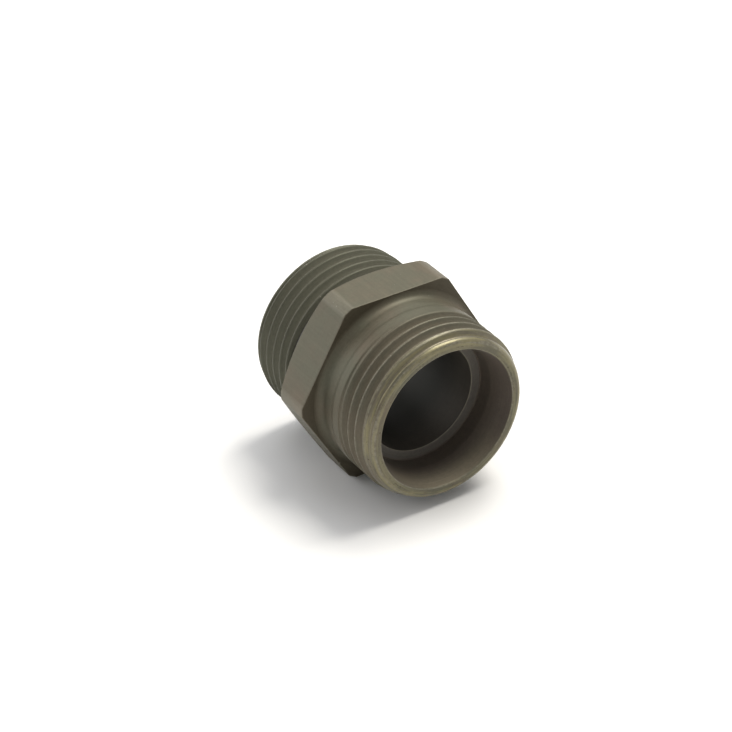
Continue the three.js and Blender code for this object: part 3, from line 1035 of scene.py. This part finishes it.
# %% [markdown]
# ## The camera
#
# The part is looked at from the socket end, from above and a little from its left, so that both
# threads, two flats and the inside of the socket show. A long lens a good step away keeps the two
# ends nearly the same size, as an eye at arm's length would see them.

# %% Camera
CAMERA_AZIMUTH, CAMERA_ELEVATION, CAMERA_ROLL = 58.32, 33.04, -1.19
CAMERA_DISTANCE = 400.8 * MM
CAMERA_LENS = 122.9
AIM_LEFT, AIM_UP = 3.61 * MM, 0.65 * MM

azimuth, elevation = math.radians(CAMERA_AZIMUTH), math.radians(CAMERA_ELEVATION)
back = Vector((math.sin(azimuth) * math.cos(elevation), -math.cos(azimuth) * math.cos(elevation),
               math.sin(elevation)))
level = back.to_track_quat("Z", "Y").to_matrix().to_4x4()
turned = level @ Matrix.Rotation(math.radians(CAMERA_ROLL), 4, "Z")
camera_data = bpy.data.cameras.new("camera")
camera_data.lens = CAMERA_LENS
camera_data.sensor_width = 36
camera = bpy.data.objects.new("camera", camera_data)
bpy.context.scene.collection.objects.link(camera)
aside = turned.col[1].to_3d() * AIM_UP - turned.col[0].to_3d() * AIM_LEFT
camera.matrix_world = Matrix.Translation(back * CAMERA_DISTANCE + aside) @ turned
bpy.context.scene.camera = camera
print("camera at", [round(value / MM, 1) for value in camera.matrix_world.translation], "mm")

# %% [markdown]
# ## The floor and the lights
#
# The part lies on plain white paper, on the flat that faces down. A dull olive metal needs large,
# soft lights: a wide one overhead, a smaller and warmer one inside it that puts the bright streak
# on the nose, and one at the side for the left flats. The white room fills in the rest.

# %% Floor and lights
def sheet(name, corners):
    mesh = bpy.data.meshes.new(name)
    mesh.from_pydata(corners, [], [range(len(corners))])
    made = bpy.data.objects.new(name, mesh)
    bpy.context.scene.collection.objects.link(made)
    return made


FLOOR_REACH = 3.0
floor = sheet("floor", [(FLOOR_REACH * x, FLOOR_REACH * y, body_low.z)
                        for x, y in ((-1, -1), (1, -1), (1, 1), (-1, 1))])
paper, paper_surface, _ = new_material("paper")
paper_surface.inputs["Base Color"].default_value = (0.85, 0.85, 0.85, 1)
paper_surface.inputs["Roughness"].default_value = 0.9
paper_surface.inputs["Specular IOR Level"].default_value = 0.1
floor.data.materials.append(paper)
floor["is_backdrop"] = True


def softbox(name, direction, distance, size, radiance, colour=(1, 1, 1)):
    """A square area light that faces the part from a direction."""
    light = bpy.data.lights.new(name, "AREA")
    light.shape = "SQUARE"
    light.size = size
    light.energy = radiance * math.pi * size ** 2
    light.color = colour
    holder = bpy.data.objects.new(name, light)
    bpy.context.scene.collection.objects.link(holder)
    aim = Vector(direction).normalized()
    holder.location = aim * distance
    holder.rotation_euler = aim.to_track_quat("Z", "Y").to_euler()
    return holder


softbox("overhead", (-0.30, 0.35, 0.89), 1.0, 1.3, 1.2)
softbox("key", (-0.03, 0.44, 0.89), 1.1, 0.55, 11.5, (1.0, 0.96, 0.88))
softbox("side", (-0.75, -0.60, 0.28), 1.0, 0.9, 2.05)

world = bpy.data.worlds.new("room")
bpy.context.scene.world = world
world.use_nodes = True
world.node_tree.nodes["Background"].inputs["Color"].default_value = (1, 1, 1, 1)
world.node_tree.nodes["Background"].inputs["Strength"].default_value = 0.40

bpy.context.scene.view_settings.view_transform = "Standard"
print("lights:", [light.name for light in bpy.data.lights])

# %% [markdown]
#
# The box round the finished pieces lies within the box of the CAD model; the smallest room left
# between the two boxes is printed. The boxes say nothing of the surfaces in between: the body here
# holds about 1 percent more than the CAD solid.

spare = min(min(new - old for new, old in zip(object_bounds()[0], cad_box[0])),
            min(old - new for new, old in zip(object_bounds()[1], cad_box[1])))
print("room left inside the CAD box: {:.6f} mm".format(spare / MM))
